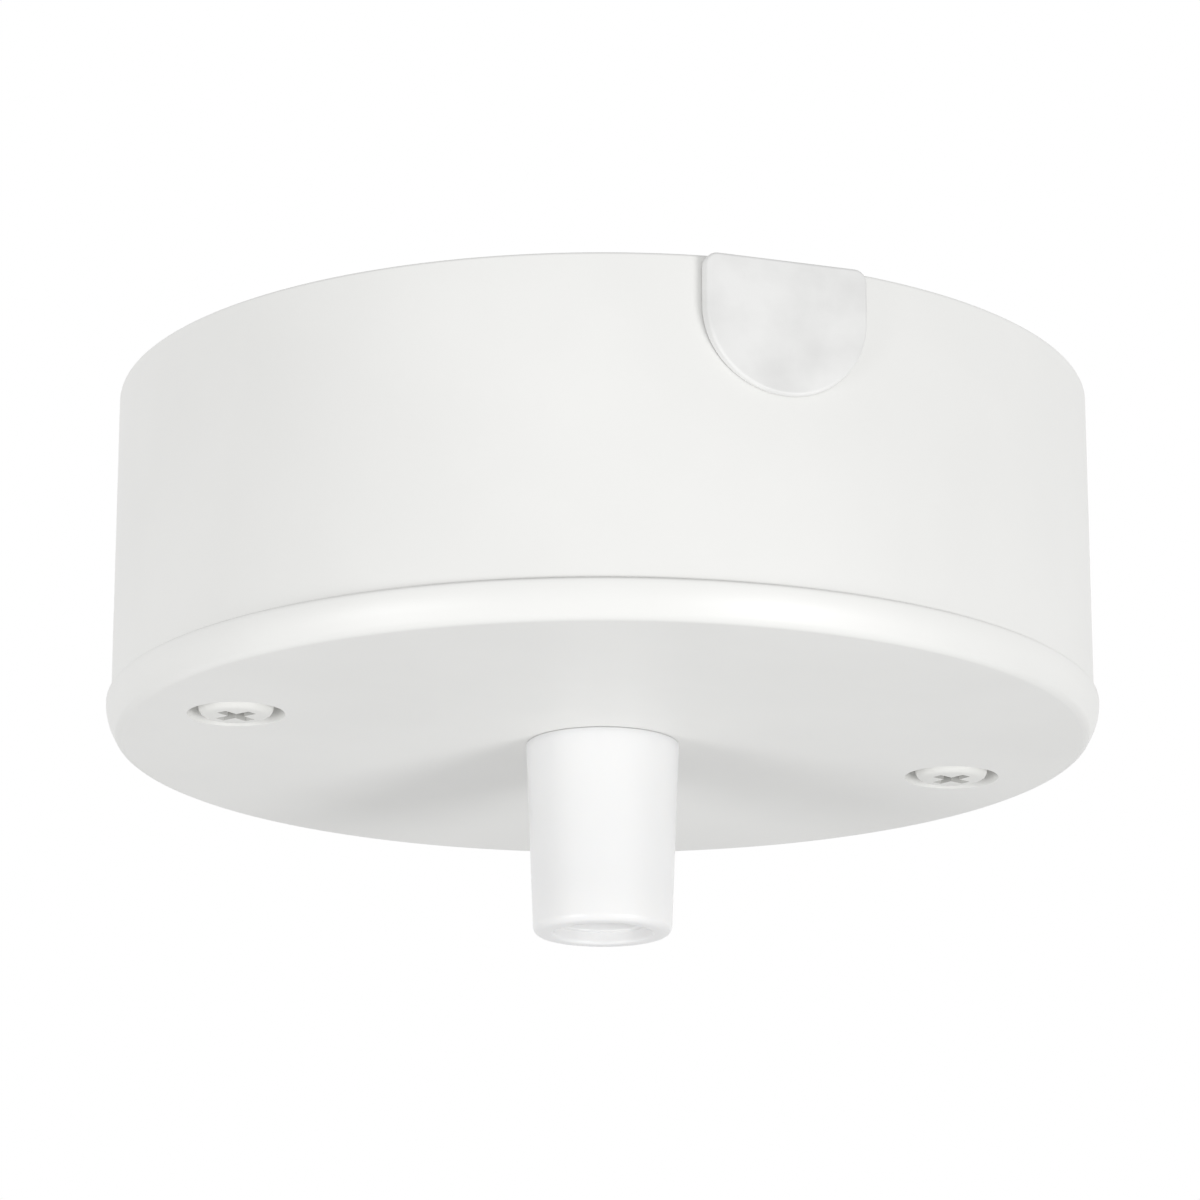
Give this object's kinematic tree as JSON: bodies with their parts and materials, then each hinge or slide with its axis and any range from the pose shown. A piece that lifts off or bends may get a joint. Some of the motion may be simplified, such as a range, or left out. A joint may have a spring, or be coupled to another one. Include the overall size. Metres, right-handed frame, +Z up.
{
  "type": "electrical ceiling rose",
  "caption": "Round white ceiling rose: a shallow moulded cup with a screwed cover, a tapered cord grip in its middle and a blanked side cable entry.",
  "frame": {"origin": "middle of the flat ceiling face, on the rose's axis", "axes": "+Z up into the ceiling, cord grip hangs along -Z, cover screws on X, side cable entry faces -Y"},
  "size_m": [0.098, 0.098, 0.0536],
  "materials": {
    "housing_plastic": "moulded satin",
    "cover_plastic": "moulded satin",
    "blank_plastic": "moulded satin",
    "grip_cap_nylon": "smooth nylon",
    "grip_nylon": "smooth nylon",
    "washer_nylon": "natural nylon",
    "terminal_plastic": "moulded",
    "painted_screw": "white enamel over steel",
    "brass": "machined",
    "zinc_steel": "zinc plated"
  },
  "bodies": {
    "housing": {"housing_shell": "housing_plastic", "boss_insert_left": "brass", "boss_insert_right": "brass", "terminal_block": "terminal_plastic", "neutral_terminal": "brass", "earth_terminal": "brass", "line_terminal": "brass", "block_screw_left": "zinc_steel", "block_screw_right": "zinc_steel"},
    "blank": {"entry_blank": "blank_plastic"},
    "cover": {"cover": "cover_plastic", "grip_nipple": "grip_nylon", "grip_washer": "zinc_steel", "grip_nut": "grip_nylon"},
    "collet": {"grip_collet": "grip_nylon"},
    "cap": {"grip_cap": "grip_cap_nylon"},
    "washer_left": {"screw_washer_left": "washer_nylon"},
    "screw_left": {"cover_screw_left": "painted_screw"},
    "washer_right": {"screw_washer_right": "washer_nylon"},
    "screw_right": {"cover_screw_right": "painted_screw"},
    "neutral_front_screw": {"neutral_screw_front": "zinc_steel"},
    "neutral_rear_screw": {"neutral_screw_rear": "zinc_steel"},
    "earth_front_screw": {"earth_screw_front": "zinc_steel"},
    "earth_rear_screw": {"earth_screw_rear": "zinc_steel"},
    "line_front_screw": {"line_screw_front": "zinc_steel"},
    "line_rear_screw": {"line_screw_rear": "zinc_steel"}
  },
  "joints": [
    {"name": "blank_slide", "type": "slide", "parent": "housing", "child": "blank", "axis": [0, 0, 1], "range_m": [0, 0.015]},
    {"name": "cover_drop", "type": "slide", "parent": "housing", "child": "cover", "axis": [0, 0, -1], "range_m": [0, 0.06]},
    {"name": "collet_travel", "type": "slide", "parent": "cover", "child": "collet", "axis": [0, 0, -1], "range_m": [0, 0.003]},
    {"name": "cap_turn", "type": "hinge", "parent": "collet", "child": "cap", "pos_m": [0, 0, -0.04], "axis": [0, 0, -1], "range_deg": [0, 1080]},
    {"name": "screw_left_travel", "type": "slide", "parent": "cover", "child": "washer_left", "axis": [0, 0, -1], "range_m": [0, 0.0078]},
    {"name": "screw_left_turn", "type": "hinge", "parent": "washer_left", "child": "screw_left", "pos_m": [-0.0377, 0, -0.0322], "axis": [0, 0, -1], "range_deg": [0, 4680]},
    {"name": "screw_right_travel", "type": "slide", "parent": "cover", "child": "washer_right", "axis": [0, 0, -1], "range_m": [0, 0.0078]},
    {"name": "screw_right_turn", "type": "hinge", "parent": "washer_right", "child": "screw_right", "pos_m": [0.0377, 0, -0.0322], "axis": [0, 0, -1], "range_deg": [0, 4680]},
    {"name": "neutral_front_clamp", "type": "slide", "parent": "housing", "child": "neutral_front_screw", "axis": [0, 0, 1], "range_m": [0, 0.0024]},
    {"name": "neutral_rear_clamp", "type": "slide", "parent": "housing", "child": "neutral_rear_screw", "axis": [0, 0, 1], "range_m": [0, 0.0024]},
    {"name": "earth_front_clamp", "type": "slide", "parent": "housing", "child": "earth_front_screw", "axis": [0, 0, 1], "range_m": [0, 0.0024]},
    {"name": "earth_rear_clamp", "type": "slide", "parent": "housing", "child": "earth_rear_screw", "axis": [0, 0, 1], "range_m": [0, 0.0024]},
    {"name": "line_front_clamp", "type": "slide", "parent": "housing", "child": "line_front_screw", "axis": [0, 0, 1], "range_m": [0, 0.0024]},
    {"name": "line_rear_clamp", "type": "slide", "parent": "housing", "child": "line_rear_screw", "axis": [0, 0, 1], "range_m": [0, 0.0024]}
  ],
  "couplings": [
    {"joint": "cap_turn", "follows": "collet_travel", "rad_per_m": 6283.2},
    {"joint": "screw_left_turn", "follows": "screw_left_travel", "rad_per_m": 10472},
    {"joint": "screw_right_turn", "follows": "screw_right_travel", "rad_per_m": 10472}
  ]
}
